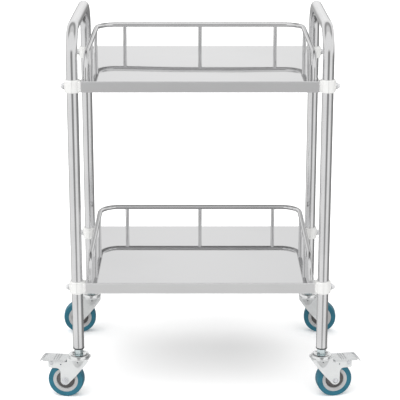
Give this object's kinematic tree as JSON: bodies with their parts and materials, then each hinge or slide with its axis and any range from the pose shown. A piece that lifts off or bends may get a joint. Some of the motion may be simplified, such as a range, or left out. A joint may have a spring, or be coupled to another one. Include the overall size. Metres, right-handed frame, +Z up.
{
  "type": "instrument cart",
  "caption": "Open tiered stainless trolley: tube end frames with push handles, folded shelves with guard rails, plastic leg clamps and swivel casters, the front ones with foot brakes.",
  "frame": {"origin": "on the floor under the middle of the cart", "axes": "+Z up, +X to the right of a user who stands at the open front, -Y towards that user, handles at +X and -X"},
  "size_m": [0.7238, 0.4404, 0.8475],
  "materials": {
    "stainless_tube": "polished stainless tube",
    "stainless_sheet": "mirror-like polished stainless sheet",
    "stainless_rail": "polished stainless tube",
    "white_clamp_plastic": "satin moulded nylon",
    "chromed_nut": "bright plated dome",
    "zinc_fastener": "zinc plated",
    "zinc_stem": "blue-passivated zinc",
    "chromed_race": "bright pressed steel",
    "bearing_steel": "ground balls",
    "zinc_fork": "bright zinc on pressed steel",
    "teal_tread": "moulded polyurethane, satin",
    "grey_core_plastic": "moulded polypropylene",
    "bronze_bush": "sintered bronze",
    "dark_guard_plastic": "moulded, satin",
    "zinc_pedal": "bright zinc on pressed steel",
    "dark_shoe_steel": "dark phosphated steel",
    "black_plug_plastic": "moulded, matt"
  },
  "bodies": {
    "frame": {"caster_stem_front_left": "zinc_stem", "caster_stem_front_right": "zinc_stem", "caster_stem_rear_left": "zinc_stem", "caster_stem_rear_right": "zinc_stem", "clamp_bolts": "zinc_fastener", "clamp_cap_nuts": "chromed_nut", "clamp_inner_shells": "white_clamp_plastic", "clamp_outer_shells": "white_clamp_plastic", "clamp_washers": "zinc_fastener", "end_frame_left": "stainless_tube", "end_frame_right": "stainless_tube", "guard_posts_lower": "stainless_rail", "guard_posts_upper": "stainless_rail", "guard_rail_lower": "stainless_rail", "guard_rail_upper": "stainless_rail", "leg_plugs": "black_plug_plastic", "shelf_lower": "stainless_sheet", "shelf_upper": "stainless_sheet", "swivel_balls": "bearing_steel", "swivel_race_front_left": "chromed_race", "swivel_race_front_right": "chromed_race", "swivel_race_rear_left": "chromed_race", "swivel_race_rear_right": "chromed_race"},
    "fork_front_left": {"axle_bolt_front_left": "zinc_fastener", "axle_nut_front_left": "zinc_fastener", "fork_front_left": "zinc_fork"},
    "wheel_front_left": {"thread_guards_front_left": "dark_guard_plastic", "tyre_front_left": "teal_tread", "wheel_bush_front_left": "bronze_bush", "wheel_core_front_left": "grey_core_plastic"},
    "pedal_front_left": {"brake_pedal_front_left": "zinc_pedal", "brake_shoe_front_left": "dark_shoe_steel", "pedal_pin_front_left": "zinc_fastener"},
    "fork_front_right": {"axle_bolt_front_right": "zinc_fastener", "axle_nut_front_right": "zinc_fastener", "fork_front_right": "zinc_fork"},
    "wheel_front_right": {"thread_guards_front_right": "dark_guard_plastic", "tyre_front_right": "teal_tread", "wheel_bush_front_right": "bronze_bush", "wheel_core_front_right": "grey_core_plastic"},
    "pedal_front_right": {"brake_pedal_front_right": "zinc_pedal", "brake_shoe_front_right": "dark_shoe_steel", "pedal_pin_front_right": "zinc_fastener"},
    "fork_rear_left": {"axle_bolt_rear_left": "zinc_fastener", "axle_nut_rear_left": "zinc_fastener", "fork_rear_left": "zinc_fork"},
    "wheel_rear_left": {"thread_guards_rear_left": "dark_guard_plastic", "tyre_rear_left": "teal_tread", "wheel_bush_rear_left": "bronze_bush", "wheel_core_rear_left": "grey_core_plastic"},
    "fork_rear_right": {"axle_bolt_rear_right": "zinc_fastener", "axle_nut_rear_right": "zinc_fastener", "fork_rear_right": "zinc_fork"},
    "wheel_rear_right": {"thread_guards_rear_right": "dark_guard_plastic", "tyre_rear_right": "teal_tread", "wheel_bush_rear_right": "bronze_bush", "wheel_core_rear_right": "grey_core_plastic"}
  },
  "joints": [
    {"name": "swivel_front_left", "type": "hinge", "parent": "frame", "child": "fork_front_left", "pos_m": [-0.273, -0.197, 0.094], "axis": [0, 0, 1], "continuous": true},
    {"name": "spin_front_left", "type": "hinge", "parent": "fork_front_left", "child": "wheel_front_left", "pos_m": [-0.30221, -0.19289, 0.04], "axis": [-0.1392, -0.9903, 0], "continuous": true},
    {"name": "brake_front_left", "type": "hinge", "parent": "fork_front_left", "child": "pedal_front_left", "pos_m": [-0.33242, -0.18865, 0.082], "axis": [-0.1392, -0.9903, 0], "range_deg": [0, 12]},
    {"name": "swivel_front_right", "type": "hinge", "parent": "frame", "child": "fork_front_right", "pos_m": [0.273, -0.197, 0.094], "axis": [0, 0, 1], "continuous": true},
    {"name": "spin_front_right", "type": "hinge", "parent": "fork_front_right", "child": "wheel_front_right", "pos_m": [0.30196, -0.19137, 0.04], "axis": [-0.1908, 0.9816, 0], "continuous": true},
    {"name": "brake_front_right", "type": "hinge", "parent": "fork_front_right", "child": "pedal_front_right", "pos_m": [0.3319, -0.18555, 0.082], "axis": [-0.1908, 0.9816, 0], "range_deg": [0, 12]},
    {"name": "swivel_rear_left", "type": "hinge", "parent": "frame", "child": "fork_rear_left", "pos_m": [-0.273, 0.197, 0.094], "axis": [0, 0, 1], "continuous": true},
    {"name": "spin_rear_left", "type": "hinge", "parent": "fork_rear_left", "child": "wheel_rear_left", "pos_m": [-0.30243, 0.19494, 0.04], "axis": [0.0698, -0.9976, 0], "continuous": true},
    {"name": "swivel_rear_right", "type": "hinge", "parent": "frame", "child": "fork_rear_right", "pos_m": [0.273, 0.197, 0.094], "axis": [0, 0, 1], "continuous": true},
    {"name": "spin_rear_right", "type": "hinge", "parent": "fork_rear_right", "child": "wheel_rear_right", "pos_m": [0.30243, 0.19494, 0.04], "axis": [0.0698, 0.9976, 0], "continuous": true}
  ]
}
